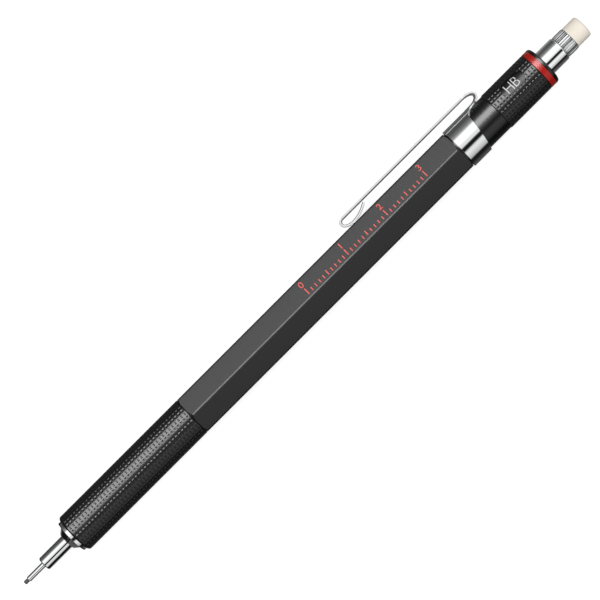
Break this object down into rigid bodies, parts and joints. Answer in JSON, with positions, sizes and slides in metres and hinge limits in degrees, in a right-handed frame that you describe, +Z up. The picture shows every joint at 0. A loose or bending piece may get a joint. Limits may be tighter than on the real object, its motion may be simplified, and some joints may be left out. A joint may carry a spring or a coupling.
{
  "type": "mechanical pencil",
  "caption": "Drafting pencil with a fixed lead sleeve, knurled grip, six-sided barrel, sprung clip, turning grade dial, push button and eraser.",
  "frame": {"origin": "middle of the lying pencil's bounding box, on the table under it", "axes": "+X along the pencil from the lead's point to the eraser, +Z up, with the clip towards +Y and 30 degrees above level"},
  "size_m": [0.143, 0.0106, 0.0085],
  "materials": {
    "graphite": "graphite with a soft metallic sheen",
    "sleeve_steel": "drawn steel tube",
    "nose_chrome": "turned and plated",
    "chrome": "bright plated",
    "retainer_rubber": "matt",
    "brass": "turned",
    "white_plastic": "moulded",
    "spring_steel": "drawn wire",
    "knurl_black": "satin black, knurled",
    "barrel_black": "satin black",
    "gloss_black": "polished black",
    "drum_black": "semi-gloss black with white grade letters",
    "red": "satin red",
    "eraser_white": "matt cream"
  },
  "bodies": {
    "holder": {"lead_sleeve": "sleeve_steel", "nose_piece": "nose_chrome", "lead_retainer": "retainer_rubber", "spring_housing": "white_plastic", "chuck_spring": "spring_steel", "grip": "knurl_black", "barrel": "barrel_black", "clip_ring": "chrome", "neck": "gloss_black", "grade_drum": "drum_black", "red_ring": "red", "end_rim": "gloss_black"},
    "plunger": {"push_button": "chrome", "eraser_ferrule": "chrome", "lead_magazine": "white_plastic", "chuck_connector": "brass", "chuck": "brass", "spare_leads": "graphite"},
    "lead_and_clutch": {"lead": "graphite", "clutch_ring": "brass"},
    "dial": {"grade_dial": "knurl_black"},
    "clip": {"clip_arm": "chrome"},
    "eraser": {"eraser": "eraser_white"}
  },
  "joints": [
    {"name": "button_push", "type": "slide", "parent": "holder", "child": "plunger", "axis": [-1, 0, 0], "range_m": [0, 0.003], "stiffness_N_per_m": 400, "springref_m": -0.0005, "deforming": ["chuck_spring"]},
    {"name": "lead_feed", "type": "slide", "parent": "holder", "child": "lead_and_clutch", "axis": [-1, 0, 0], "range_m": [0, 0.0006]},
    {"name": "dial_turn", "type": "hinge", "parent": "holder", "child": "dial", "pos_m": [0.05436, -0.00082, 0.00422], "axis": [1, 0, 0], "continuous": true},
    {"name": "clip_flex", "type": "hinge", "parent": "holder", "child": "clip", "pos_m": [0.04903, 0.00362, 0.00678], "axis": [0, 0.5, -0.866], "range_deg": [0, 4], "stiffness_Nm_per_rad": 0.5},
    {"name": "eraser_pull", "type": "slide", "parent": "plunger", "child": "eraser", "axis": [1, 0, 0], "range_m": [0, 0.007]}
  ],
  "couplings": [
    {"joint": "lead_feed", "follows": "button_push", "ratio": 0.2}
  ]
}
